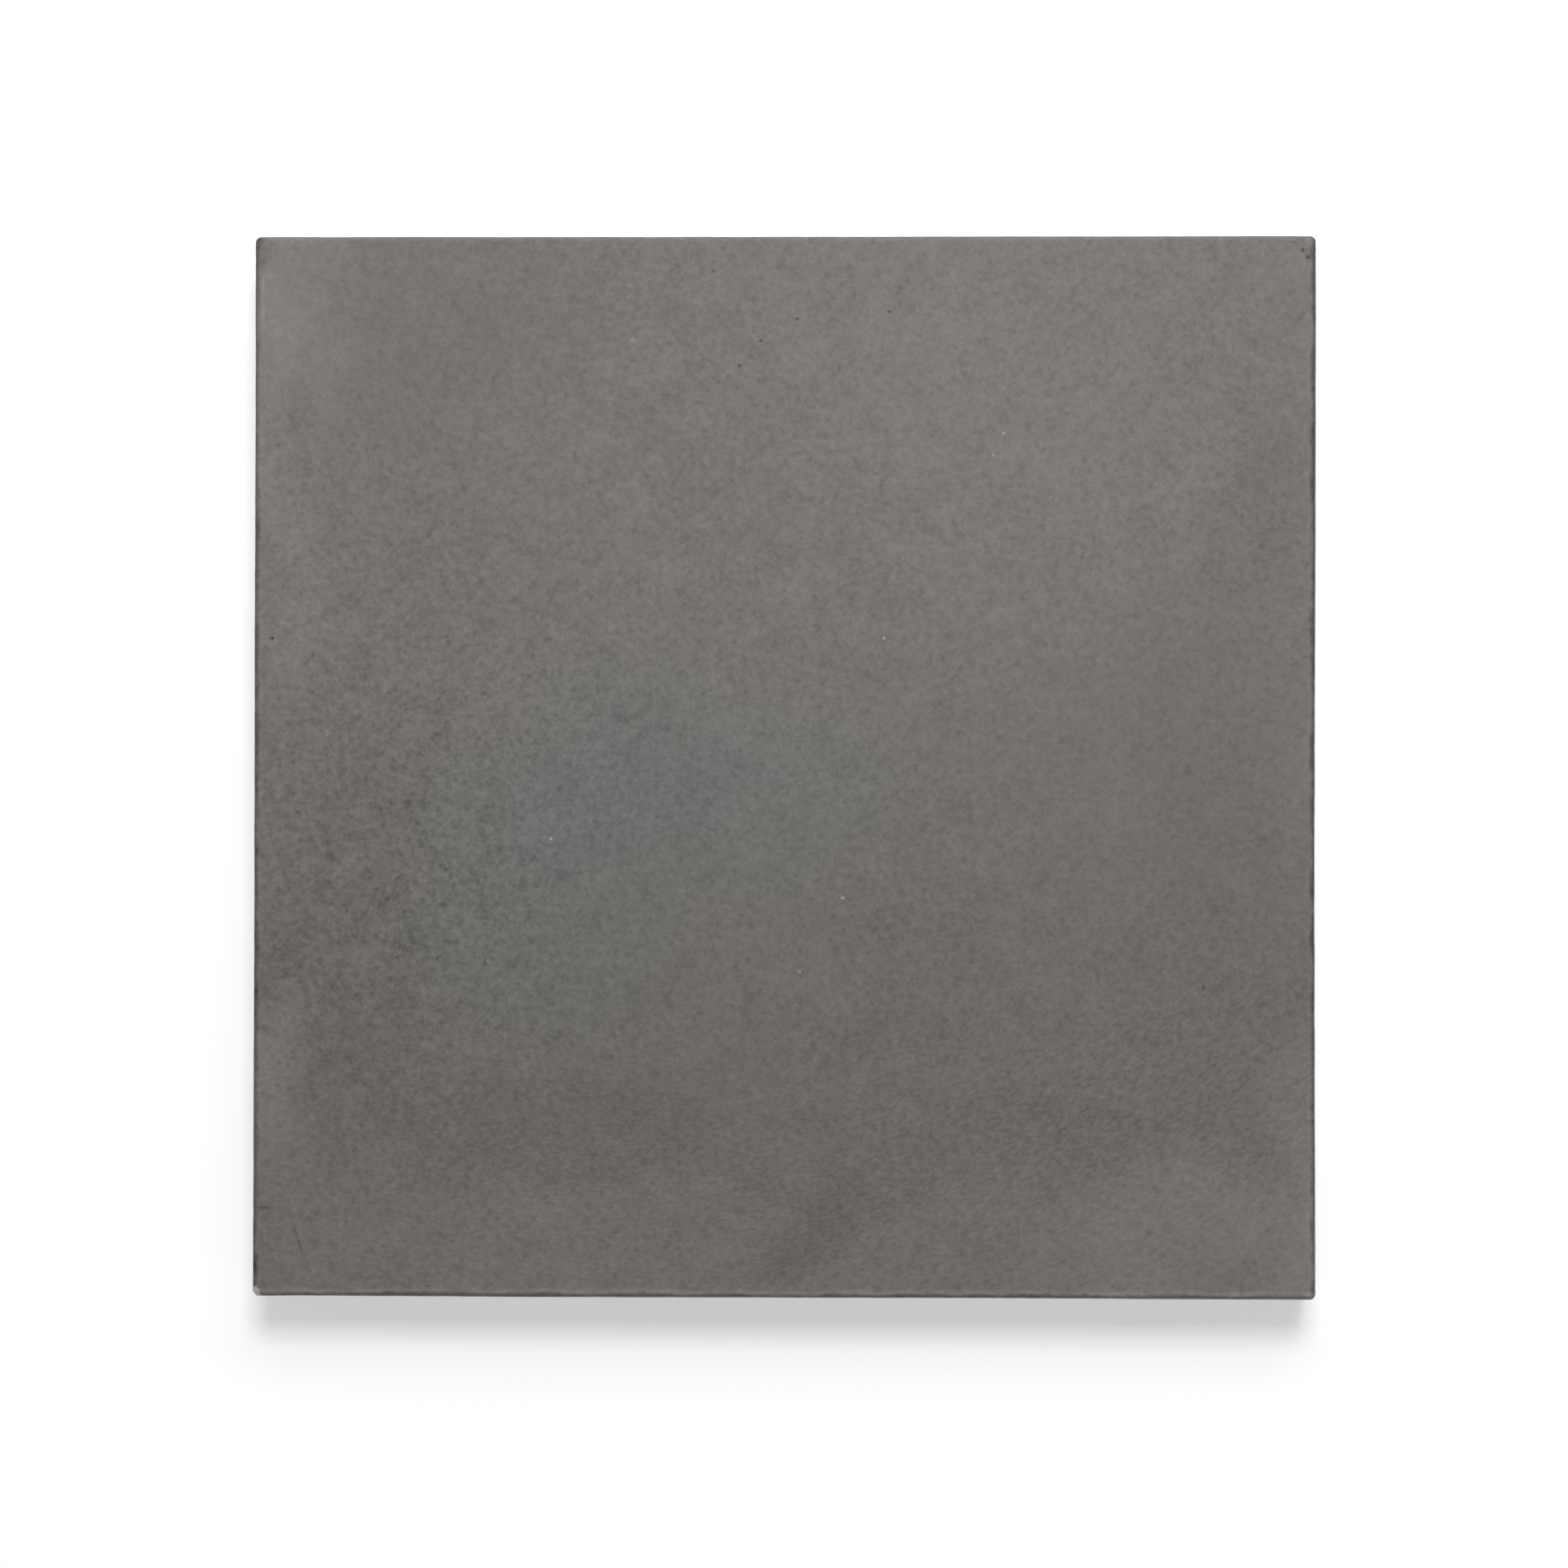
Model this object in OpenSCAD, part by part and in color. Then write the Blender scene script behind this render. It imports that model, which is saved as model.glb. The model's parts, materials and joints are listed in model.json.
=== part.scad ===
// Square concrete paving slab, pressed in one piece.
// The wearing face is up, the bedding face lies on z = 0, and the origin is the middle of the bedding face.
// One edge section is run along the four sides and turned round the four corners of a flat plate.

/* [Slab] */
// Length of the slab along X
slab_length = 400; // [200:1:900]
// Width of the slab along Y
slab_width = 400; // [200:1:900]
// Thickness from the bedding face to the wearing face
slab_thickness = 40; // [25:1:100]

/* [Edges] */
// Radius in plan of the upright corners
corner_radius = 2.5; // [2.5:0.1:12]
// Radius of the rounded arris round the wearing face
wearing_arris = 2; // [0.5:0.1:2.4]
// Radius of the smaller arris round the bedding face
bedding_arris = 1; // [0.5:0.1:2.4]

/* [Hidden] */
// Smoothness of the curves
$fn = 96;
// Warm grey of the cast face
concrete_colour = [0.46, 0.44, 0.42];
// Length of the plate between the corner centres
plate_length = slab_length - 2 * corner_radius;
// Width of the plate between the corner centres
plate_width = slab_width - 2 * corner_radius;

// Quarter of a disc, in the quadrant where x and y are positive
module quarter_disc(radius) {
    intersection() {
        circle(radius);
        square(2 * radius);
    }
}

// Section of the slab's edge, from the corner centre at x = 0 out to the joint side at x = corner_radius
module edge_section() {
    polygon([
        [0, 0],
        [corner_radius - bedding_arris, 0],
        [corner_radius - bedding_arris, bedding_arris],
        [corner_radius, bedding_arris],
        [corner_radius, slab_thickness - wearing_arris],
        [corner_radius - wearing_arris, slab_thickness - wearing_arris],
        [corner_radius - wearing_arris, slab_thickness],
        [0, slab_thickness]
    ]);
    translate([corner_radius - wearing_arris, slab_thickness - wearing_arris])
        quarter_disc(wearing_arris);
    translate([corner_radius - bedding_arris, bedding_arris])
        mirror([0, 1])
            quarter_disc(bedding_arris);
}

// Flat plate inside the edges
module plate() {
    translate([-plate_length / 2, -plate_width / 2, 0])
        cube([plate_length, plate_width, slab_thickness]);
}

// Edge section run straight along Y, with its joint side facing +X
module straight_edge(run) {
    rotate([90, 0, 0])
        linear_extrude(height = run, center = true)
            edge_section();
}

// Edge section turned from +X to +Y
module turned_corner() {
    rotate_extrude(angle = 90)
        edge_section();
}

module slab() {
    color(concrete_colour)
        union() {
            plate();
            for (side = [-1, 1]) {
                translate([side * plate_length / 2, 0, 0])
                    rotate(90 - side * 90)
                        straight_edge(plate_width);
                translate([0, side * plate_width / 2, 0])
                    rotate(side * 90)
                        straight_edge(plate_length);
                translate([side * plate_length / 2, side * plate_width / 2, 0])
                    rotate(90 - side * 90)
                        turned_corner();
                translate([-side * plate_length / 2, side * plate_width / 2, 0])
                    rotate(side * 90)
                        turned_corner();
            }
        }
}

slab();
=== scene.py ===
"""Concrete paving slab on a white studio floor, seen from above as in the photo."""

import cmath
import json
import math
import random
from types import SimpleNamespace

import bpy
import numpy as np
from mathutils import Euler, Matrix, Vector, noise

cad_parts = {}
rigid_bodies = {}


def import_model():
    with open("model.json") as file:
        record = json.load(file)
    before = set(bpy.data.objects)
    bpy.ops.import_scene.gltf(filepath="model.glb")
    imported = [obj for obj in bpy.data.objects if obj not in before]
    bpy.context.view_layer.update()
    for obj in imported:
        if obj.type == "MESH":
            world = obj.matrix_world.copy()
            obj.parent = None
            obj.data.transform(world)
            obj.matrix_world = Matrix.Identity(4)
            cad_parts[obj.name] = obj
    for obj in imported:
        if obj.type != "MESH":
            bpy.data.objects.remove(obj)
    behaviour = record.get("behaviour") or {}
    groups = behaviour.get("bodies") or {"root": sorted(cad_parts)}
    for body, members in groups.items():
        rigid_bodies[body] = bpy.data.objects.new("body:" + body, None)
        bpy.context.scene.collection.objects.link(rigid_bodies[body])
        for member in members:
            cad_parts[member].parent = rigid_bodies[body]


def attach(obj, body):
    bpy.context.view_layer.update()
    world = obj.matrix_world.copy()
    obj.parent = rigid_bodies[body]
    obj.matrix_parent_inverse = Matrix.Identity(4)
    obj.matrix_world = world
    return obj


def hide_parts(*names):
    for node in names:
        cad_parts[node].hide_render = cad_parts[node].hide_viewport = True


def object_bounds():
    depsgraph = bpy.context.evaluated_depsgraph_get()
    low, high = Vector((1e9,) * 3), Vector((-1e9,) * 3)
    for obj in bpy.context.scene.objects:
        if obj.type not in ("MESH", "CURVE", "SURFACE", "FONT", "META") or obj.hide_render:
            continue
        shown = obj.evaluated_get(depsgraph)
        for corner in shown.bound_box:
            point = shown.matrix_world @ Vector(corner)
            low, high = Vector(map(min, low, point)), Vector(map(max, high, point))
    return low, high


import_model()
cad_low, cad_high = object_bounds()

MM = 0.001
TINY = 1e-9

# Sizes of the slab, from the frame, and of its edges, as in the part
HALF_X = (cad_high.x - cad_low.x) / 2
HALF_Y = (cad_high.y - cad_low.y) / 2
THICKNESS = cad_high.z - cad_low.z
CORNER_RADIUS = 2.5 * MM
WEARING_ARRIS = 2.0 * MM
BEDDING_ARRIS = 1.0 * MM

# Where the photo has the middle of the wearing face, and its scale there
PHOTO_MIDDLE_X = 869.9
PHOTO_MIDDLE_Y = 850.5
PHOTO_PIXELS_PER_M = 2947.5


def at_pixel(x, y):
    """Place on the wearing face that the photo shows at a pixel."""
    return (x - PHOTO_MIDDLE_X) / PHOTO_PIXELS_PER_M, (PHOTO_MIDDLE_Y - y) / PHOTO_PIXELS_PER_M


def between(limits, share):
    """Value at a share of the way from the first limit to the second."""
    low, high = limits
    return low + (high - low) * share


# Mesh spacing: along an edge near its corners and between them, and across the edge section
CORNER_ZONE = 6 * MM
CORNER_STEPS = 12
LONG_STEPS = 324
GRID_INSET = 2.3 * MM
ARRIS_STEPS = 8
BED_ARRIS_STEPS = 4
SIDE_STEPS = 15
FOOT_HEIGHT = 6 * MM
FOOT_STEPS = 5
BED_RIM_INSETS = (2 * MM, 3.5 * MM, 6 * MM)
BED_GRID_INSET = 10 * MM

# Islands of the UV map: the wearing face, the first of the four joint sides, and the underside
TOP, SIDES, UNDERSIDE = 0, 1, 5


class Patch:
    """A grid of the skin's points in straight directions u and v, whose cross product points outwards."""

    def __init__(self, ids, u, v, place, island):
        self.ids = ids
        self.u = u
        self.v = v
        self.place = place
        self.island = island
        self.taken = np.zeros((len(v) - 1, len(u) - 1), bool)


class Skin:
    """Points and faces of the slab's surface, before it is worn."""

    def __init__(self):
        self.points = []
        self.sink = []
        self.grain = []
        # Strength of the painted shade at each point, for the holes
        self.pit = []
        self.faces = []
        self.islands = []

    def add(self, points, sink=0.0, grain=0.0, pit=0.0):
        first = len(self.points)
        self.points.extend(tuple(p) for p in points)
        count = len(self.points) - first
        self.sink.extend([sink] * count)
        self.grain.extend([grain] * count)
        self.pit.extend([pit] * count)
        return np.arange(first, first + count)

    def face(self, ids, island):
        self.faces.append([int(i) for i in ids])
        self.islands.append(island)

    def strip(self, inner, outer, island_of):
        """Joins two closed loops, where one may have twice the points of the other."""
        steps = min(len(inner), len(outer))
        a, b = len(inner) // steps, len(outer) // steps
        for i in range(steps):
            near = [inner[(i * a + k) % len(inner)] for k in range(a + 1)]
            far = [outer[(i * b + k) % len(outer)] for k in range(b + 1)]
            self.face([near[0], *far, *near[:0:-1]], island_of(i / steps))

    def fill(self, patch):
        """Faces of a patch, less the cells that a feature takes up."""
        ids = patch.ids
        for r, c in zip(*np.nonzero(~patch.taken)):
            self.face([ids[r, c], ids[r, c + 1], ids[r + 1, c + 1], ids[r + 1, c]], patch.island)

    def stitch(self, outer, inner, island):
        """Triangles between two closed loops of (angle, point) pairs, both in rising order of angle."""
        i = j = 0
        turn = 2 * math.pi
        while i < len(outer) or j < len(inner):
            o, n = outer[i % len(outer)], inner[j % len(inner)]
            o2, n2 = outer[(i + 1) % len(outer)], inner[(j + 1) % len(inner)]
            half_o = (o[0] + o2[0]) / 2 + turn * (i // len(outer) + (i + 1) // len(outer)) / 2
            half_n = (n[0] + n2[0]) / 2 + turn * (j // len(inner) + (j + 1) // len(inner)) / 2
            if j >= len(inner) or (i < len(outer) and half_o <= half_n):
                self.face([o[1], o2[1], n[1]], island)
                i += 1
            else:
                self.face([o[1], n2[1], n[1]], island)
                j += 1

    def insert(self, patch, u, v, outline, rings, grain=0.0, pit=0.0, margin=1):
        """Sets a small feature into a patch: each ring is (share of the outline, sink), from outside in."""
        reach = rings[0][0] * max(abs(spot) for spot in outline)
        room = min(u - patch.u[0], patch.u[-1] - u, v - patch.v[0], patch.v[-1] - v)
        if room <= reach:
            return
        c0 = max(np.searchsorted(patch.u, u - reach, "right") - 1 - margin, 0)
        c1 = min(np.searchsorted(patch.u, u + reach) + margin, len(patch.u) - 1)
        r0 = max(np.searchsorted(patch.v, v - reach, "right") - 1 - margin, 0)
        r1 = min(np.searchsorted(patch.v, v + reach) + margin, len(patch.v) - 1)
        if patch.taken[r0:r1, c0:c1].any():
            return
        patch.taken[r0:r1, c0:c1] = True
        cells = [(r0, c) for c in range(c0, c1)] + [(r, c1) for r in range(r0, r1)]
        cells += [(r1, c) for c in range(c1, c0, -1)] + [(r, c0) for r in range(r1, r0, -1)]
        edge = [(math.atan2(patch.v[r] - v, patch.u[c] - u), patch.ids[r, c]) for r, c in cells]
        loop = sorted(edge)
        angles = [cmath.phase(spot) for spot in outline]
        for share, sink in rings:
            spots = [patch.place(u + share * spot.real, v + share * spot.imag) for spot in outline]
            inside = share <= 1
            ids = self.add(spots, sink, grain * inside, pit * inside)
            ring = list(zip(angles, ids))
            self.stitch(loop, ring, patch.island)
            loop = ring
        self.face([i for _, i in loop], patch.island)

    def drop_loose(self):
        """Leaves out the points that no face uses, where features took up cells."""
        used = sorted({i for face in self.faces for i in face})
        number = {old: new for new, old in enumerate(used)}
        self.faces = [[number[i] for i in face] for face in self.faces]
        lists = (self.points, self.sink, self.grain, self.pit)
        self.points, self.sink, self.grain, self.pit = [[values[i] for i in used] for values in lists]


def blob(draw, radius, sides, uneven, stretch=1.0):
    """Outline of a small uneven round, as complex steps from its middle in rising order of angle."""
    turn = cmath.exp(1j * draw.uniform(0, math.pi))
    outline = []
    for k in range(sides):
        a = 2 * math.pi * k / sides
        r = radius * (1 + uneven * draw.uniform(-1, 1))
        outline.append(turn * complex(r * stretch * math.cos(a), r / stretch * math.sin(a)))
    return sorted(outline, key=cmath.phase)


def side_stops():
    """Places along one side, from corner to corner, on a scale from -1 to 1."""
    side = 2 * HALF_X
    near = np.linspace(0, CORNER_ZONE, CORNER_STEPS + 1)
    middle = np.linspace(CORNER_ZONE, side - CORNER_ZONE, LONG_STEPS + 1)
    return np.concatenate([near, middle[1:], side - near[-2::-1]]) / HALF_X - 1


def plan_loop(stops, inset):
    """Outline of the slab in plan, moved in by inset, anticlockwise from the front right corner."""
    s = stops[:-1]
    one = np.ones_like(s)
    square = np.concatenate(
        [np.stack(xy, 1) for xy in ((one, s), (-s, one), (-one, -s), (s, -one))]
    )
    half = np.array([HALF_X, HALF_Y]) - inset
    radius = max(CORNER_RADIUS - inset, 0)
    flat = square * half
    past = np.abs(flat) - (half - radius)
    corner = (past > TINY).all(1)
    length = np.maximum(np.linalg.norm(past, axis=1), TINY)
    turned = np.sign(flat) * (half - radius + past * (radius / length)[:, None])
    return np.where(corner[:, None], turned, flat)


def loop_at(skin, stops, inset, z):
    plan = plan_loop(stops, inset)
    return skin.add(np.column_stack([plan, np.full(len(plan), z)]))


def add_loops(skin, last, stops, section, island_of):
    """Carries the skin on from its last loop, through each (inset, height) of an edge section."""
    for inset, z in section:
        loop = loop_at(skin, stops, inset, z)
        skin.strip(last, loop, island_of)
        last = loop
    return last


def grid_edge(ids):
    """Edge of a grid of points, in the order of plan_loop."""
    return np.concatenate([ids[:-1, -1], ids[-1, :0:-1], ids[:0:-1, 0], ids[0, :-1]])


def grid_at(skin, stops, inset, z):
    x = stops * (HALF_X - inset)
    y = stops * (HALF_Y - inset)
    across, along = np.meshgrid(x, y)
    points = np.column_stack([across.ravel(), along.ravel(), np.full(across.size, z)])
    return skin.add(points).reshape(len(y), len(x)), x, y


def side_place(side):
    """Maps (along the side, height) to a point of that joint side."""
    turn = math.pi / 2 * side
    reach = HALF_X if side % 2 == 0 else HALF_Y

    def place(u, v):
        return (
            reach * math.cos(turn) - u * math.sin(turn),
            reach * math.sin(turn) + u * math.cos(turn),
            v,
        )

    return place


def side_of(share):
    """UV island of the joint side at a share of the way round the slab."""
    return SIDES + int(share * 4)


def add_sides(skin, last, stops):
    """Joint sides below the last loop: faces at the upright corners, and a patch between each two of them."""
    steps = len(stops) - 1
    side_heights = np.linspace(THICKNESS - WEARING_ARRIS, FOOT_HEIGHT, SIDE_STEPS + 1)[1:]
    foot_heights = np.linspace(FOOT_HEIGHT, BEDDING_ARRIS, FOOT_STEPS + 1)[1:]
    loops = [loop_at(skin, stops, 0, z) for z in (*side_heights, *foot_heights)]
    skin.strip(last, loops[0], side_of)
    first = CORNER_STEPS // 2
    end = steps - first
    patches = []
    for side in range(4):
        columns = [(side * steps + c) % (4 * steps) for c in range(first, end + 1)]
        ids = np.array([loop[columns] for loop in reversed(loops)])
        reach = HALF_Y if side % 2 == 0 else HALF_X
        u = stops[first : end + 1] * reach
        v = np.array([skin.points[i][2] for i in ids[:, 0]])
        patches.append(Patch(ids, u, v, side_place(side), SIDES + side))
    for upper, lower in zip(loops, loops[1:]):
        for side in range(4):
            for c in [*range(first), *range(end, steps)]:
                i = side * steps + c
                k = (i + 1) % (4 * steps)
                skin.face([upper[i], lower[i], lower[k], upper[k]], SIDES + side)
    return patches, loops[-1]


def right_angle(steps):
    """Angles from 0 to a right angle, in even steps."""
    return [math.pi / 2 * k / steps for k in range(steps + 1)]


def build_skin():
    """The whole surface, from the wearing face over the edges to the underside."""
    skin = Skin()
    fine = side_stops()
    half = fine[::2]
    quarter = fine[::4]

    top_ids, x, y = grid_at(skin, half, GRID_INSET, THICKNESS)
    top = Patch(top_ids, x, y, lambda u, v: (u, v, THICKNESS), TOP)
    wearing_edge = [
        (WEARING_ARRIS * (1 - math.sin(a)), THICKNESS - WEARING_ARRIS * (1 - math.cos(a)))
        for a in right_angle(ARRIS_STEPS)
    ]
    last = add_loops(skin, grid_edge(top_ids), fine, wearing_edge, lambda share: TOP)

    sides, last = add_sides(skin, last, half)

    bedding_edge = [
        (BEDDING_ARRIS * (1 - math.cos(a)), BEDDING_ARRIS * (1 - math.sin(a)))
        for a in right_angle(BED_ARRIS_STEPS)[1:]
    ]
    rim = [(inset, 0) for inset in BED_RIM_INSETS]
    last = add_loops(skin, last, half, bedding_edge + rim, lambda share: UNDERSIDE)
    bed_ids, x, y = grid_at(skin, quarter, BED_GRID_INSET, 0)
    skin.strip(last, grid_edge(bed_ids), lambda share: UNDERSIDE)
    bed = Patch(bed_ids.T, y, x, lambda u, v: (v, u, 0), UNDERSIDE)
    return skin, top, sides, bed


# Pinholes and light sand grains of the wearing face, from the photo: pixel, radius, how plainly they show,
# which for a pinhole is the strength of the painted shade in it
PINHOLES = (
    (1444, 278, 0.75 * MM, 0.45),
    (844, 378, 0.70 * MM, 0.45),
    (884, 354, 0.65 * MM, 0.35),
    (301, 709, 0.75 * MM, 0.55),
    (1336, 1095, 0.60 * MM, 0.40),
    (820, 406, 0.65 * MM, 0.35),
    (331, 903, 0.65 * MM, 0.20),
    (791, 301, 0.65 * MM, 0.35),
    (986, 346, 0.60 * MM, 0.40),
)
GRAINS = (
    (1102, 505, 0.60 * MM, 0.65),
    (981, 708, 0.60 * MM, 0.85),
    (936, 996, 0.70 * MM, 0.85),
    (888, 1078, 0.60 * MM, 0.80),
    (612, 931, 0.60 * MM, 0.85),
    (702, 377, 1.10 * MM, 0.40),
    (1113, 481, 0.60 * MM, 0.80),
)
# Rings of a hole and of a grain, from outside in: share of the outline, and share of the depth
PIT_RINGS = ((1.5, 0.0), (1.2, 0.0), (1.0, 0.08), (0.8, 0.55), (0.5, 0.9))
GRAIN_RINGS = ((1.6, 0.0), (1.15, 0.0), (1.0, 0.0))
# How the outlines are drawn, and the depth of a hole as a share of its radius
FEATURE_SEED = 7
PINHOLE_SIDES = 10
PINHOLE_STRETCH = 1.15
PINHOLE_DEPTH = 0.7
GRAIN_SIDES = 8
GRAIN_UNEVEN = 0.16
PIT_UNEVEN = 0.2
PIT_STRETCH = (1.0, 1.25)
# Air holes on each joint side: most are small, and there are more of them near the foot
SIDE_PITS = 85
SIDE_PIT_RADIUS = (0.3 * MM, 2.0 * MM)
SIDE_PIT_RARITY = 4
SIDE_PIT_SINKING = 1.3
SIDE_PIT_DEPTH = (0.6, 1.1)
# Strength of the painted shade in the holes: least and most
SIDE_PIT_PAINTED_SHADE = (0.3, 0.7)
SMALL_PIT = 0.2
SMALL_PIT_SIDES = 8
LARGE_PIT_SIDES = 14
# Air holes on the underside
BED_PITS = 90
BED_PIT_RADIUS = (0.6 * MM, 2.4 * MM)
BED_PIT_RARITY = 2
BED_PIT_SIDES = 12
BED_PIT_DEPTH = 0.65
# Strength of the painted shade in the holes
BED_PIT_PAINTED_SHADE = 0.7


def pit_rings(depth):
    """Rings of a hole with rounded lips and bottom."""
    return [(share, fall * depth) for share, fall in PIT_RINGS]


def add_side_pits(skin, draw, side):
    for _ in range(SIDE_PITS):
        size = draw.random() ** SIDE_PIT_RARITY
        radius = between(SIDE_PIT_RADIUS, size)
        u = draw.uniform(side.u[0], side.u[-1])
        v = between((side.v[0], side.v[-1]), draw.random() ** SIDE_PIT_SINKING)
        sides = SMALL_PIT_SIDES if size < SMALL_PIT else LARGE_PIT_SIDES
        outline = blob(draw, radius, sides, PIT_UNEVEN, draw.uniform(*PIT_STRETCH))
        depth = radius * draw.uniform(*SIDE_PIT_DEPTH)
        skin.insert(side, u, v, outline, pit_rings(depth), pit=draw.uniform(*SIDE_PIT_PAINTED_SHADE))


def add_bed_pits(skin, draw, bed):
    for _ in range(BED_PITS):
        radius = between(BED_PIT_RADIUS, draw.random() ** BED_PIT_RARITY)
        u = draw.uniform(bed.u[0], bed.u[-1])
        v = draw.uniform(bed.v[0], bed.v[-1])
        outline = blob(draw, radius, BED_PIT_SIDES, PIT_UNEVEN, draw.uniform(*PIT_STRETCH))
        skin.insert(bed, u, v, outline, pit_rings(BED_PIT_DEPTH * radius), pit=BED_PIT_PAINTED_SHADE)


def add_features(skin, top, sides, bed):
    """Pinholes and grains of the photo, then air holes over the joint sides and the underside."""
    draw = random.Random(FEATURE_SEED)
    for px, py, radius, plain in PINHOLES:
        outline = blob(draw, radius, PINHOLE_SIDES, PIT_UNEVEN, PINHOLE_STRETCH)
        skin.insert(top, *at_pixel(px, py), outline, pit_rings(PINHOLE_DEPTH * radius), pit=plain)
    for px, py, radius, plain in GRAINS:
        outline = blob(draw, radius, GRAIN_SIDES, GRAIN_UNEVEN)
        skin.insert(top, *at_pixel(px, py), outline, GRAIN_RINGS, grain=plain, margin=0)
    for side in sides:
        add_side_pits(skin, draw, side)
    add_bed_pits(skin, draw, bed)
    for patch in (top, *sides, bed):
        skin.fill(patch)
    skin.drop_loose()


# Turns the noise so that its lattice does not line up with the slab
OBLIQUE = (0.7, 0.5, 0.3)
OBLIQUE_TURN = Euler(OBLIQUE).to_matrix()

# Waves in each kind of surface: depth in mm, length, and seed
FACE_WAVES = ((0.10, 95 * MM, 1), (0.02, 9 * MM, 2), (0.010, 4.5 * MM, 3))
SIDE_WAVES = ((0.09, 22 * MM, 4), (0.03, 5 * MM, 6))
DRAG_WAVES = ((0.05, 4 * MM, 5),)
BED_WAVES = ((0.12, 28 * MM, 7), (0.10, 7 * MM, 8))
ARRIS_WAVES = ((0.10, 16 * MM, 9),)
# Bites out of the wearing arris, in the same form
ARRIS_BITES = (0.16, 5 * MM, 10)
# Pace at which the drag lines of the joint sides change upwards, against along
DRAG_STRETCH = 0.08


def wave(point, length, seed=0.0):
    """Smooth noise from -1 to 1 with waves of about twice that length."""
    return noise.noise(OBLIQUE_TURN @ Vector(point) / length + Vector((seed, 2 * seed, 3 * seed)))


def sunk(point, waves):
    """Depth below the true face that waves of one kind of surface give."""
    return sum(depth * (1 + wave(point, length, seed)) for depth, length, seed in waves)


def relief(point, normal):
    """Depth of the cast surface below the true faces."""
    up = max(normal[2], 0.0)
    down = max(-normal[2], 0.0)
    out = 1 - abs(normal[2])
    rolled = 4 * up * (1 - up)
    dragged = (point[0], point[1], point[2] * DRAG_STRETCH)
    side = sunk(point, SIDE_WAVES) + sunk(dragged, DRAG_WAVES)
    bite, length, seed = ARRIS_BITES
    worn = sunk(point, ARRIS_WAVES) + bite * max(0.0, wave(point, length, seed))
    return MM * (sunk(point, FACE_WAVES) * up + side * out + sunk(point, BED_WAVES) * down + worn * rolled)


# How far each side bows in from a straight line, as (middle of the bow along the side, reach, depth)
BOWS = {
    "right": ((-0.05, 0.11, 0.40 * MM),),
    "left": ((0.12, 0.05, 0.05 * MM), (-0.08, 0.09, 0.10 * MM)),
    "back": ((-0.02, 0.10, 0.05 * MM),),
    "front": ((0.07, 0.10, 0.25 * MM), (-0.17, 0.06, 0.25 * MM)),
}


def bow(side, along):
    return sum(depth * np.exp(-(((along - middle) / reach) ** 2)) for middle, reach, depth in BOWS[side])


def bend_outline(points):
    """Moves the four sides in along their bows."""
    x, y = points[:, 0].copy(), points[:, 1].copy()
    shrink_x = np.where(x > 0, bow("right", y), bow("left", y)) / HALF_X
    shrink_y = np.where(y > 0, bow("back", x), bow("front", x)) / HALF_Y
    points[:, 0] = x * (1 - shrink_x)
    points[:, 1] = y * (1 - shrink_y)


# Knocks on the wearing arris, from the photo: pixel on the outline, ball radius, depth, how fresh it looks
KNOCKS = (
    (1431, 264, 5.0 * MM, 0.50 * MM, 0.0),
    (1451, 268, 2.2 * MM, 0.40 * MM, 0.2),
    (1450, 286, 1.6 * MM, 0.50 * MM, 0.0),
    (284, 266, 3.0 * MM, 0.80 * MM, 0.0),
    (283, 297, 4.0 * MM, 0.55 * MM, 0.0),
    (283, 1407, 3.5 * MM, 0.55 * MM, 0.0),
    (282, 1340, 3.0 * MM, 0.50 * MM, 0.0),
    (545, 1440, 3.0 * MM, 0.40 * MM, 0.2),
    (345, 1438, 4.0 * MM, 0.40 * MM, 0.0),
    (1458, 1436, 3.0 * MM, 0.50 * MM, 0.0),
    (1265, 1441, 3.5 * MM, 0.35 * MM, 0.0),
    (1457, 800, 3.0 * MM, 0.35 * MM, 0.0),
    (283, 905, 3.0 * MM, 0.40 * MM, 0.0),
    (756, 263, 4.0 * MM, 0.35 * MM, 0.2),
)
# A knock this close to an edge faces out from it
KNOCK_NEAR = 4 * MM
# Share of what the arris's rounding takes off its corner, from which the depth of a knock counts
KNOCK_ARRIS = 0.6
# How far out a knock's points are looked for, and its roughness, all as shares of its radius, and a seed
KNOCK_SEARCH = 1.2
KNOCK_ROUGH_DEPTH = 0.05
KNOCK_ROUGH_LENGTH = 0.5
KNOCK_ROUGH_SEED = 11
# Depth from which a knock shows bare concrete in full
KNOCK_BARE = 0.4 * MM
# Knocks spread at random over both arrises: all small on the upper one, and mostly small on the lower
LOOSE_KNOCKS = 40
LOOSE_SEED = 21
LOOSE_SPAN = 0.96
LOOSE_TOP_SHARE = 0.3
LOOSE_TOP_SIZE = 0.2
LOOSE_RARITY = 2
LOOSE_TOP_LEAN = 0.9
LOOSE_BED_LEAN = -0.8
LOOSE_RADIUS = (2.5 * MM, 9.5 * MM)
LOOSE_DEPTH = (0.25 * MM, 1.55 * MM)
LOOSE_FRESH = 0.5
# Corner that the photo shows chipped, front left: how far the break runs along each edge
BREAK_X = 4.8 * MM
BREAK_Y = 6.0 * MM
BREAK_Z = 3.5 * MM
# Roughness of the break: depth, length and seed of each wave, and how far under it points are looked at
BREAK_WAVES = ((0.22 * MM, 1.1 * MM, 12), (0.25 * MM, 2.6 * MM, 13))
BREAK_SEARCH = 0.8 * MM


def seen_knocks():
    """The photo's knocks as (place on the arris, outward direction, ball radius, depth, freshness)."""
    knocks = []
    for px, py, radius, depth, fresh in KNOCKS:
        x, y = at_pixel(px, py)
        x = max(-HALF_X, min(HALF_X, x))
        y = max(-HALF_Y, min(HALF_Y, y))
        to_x = math.copysign(HALF_X - abs(x) < KNOCK_NEAR, x)
        to_y = math.copysign(HALF_Y - abs(y) < KNOCK_NEAR, y)
        knocks.append(((x, y, THICKNESS), (to_x, to_y, 1.0), radius, depth, fresh))
    return knocks


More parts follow.
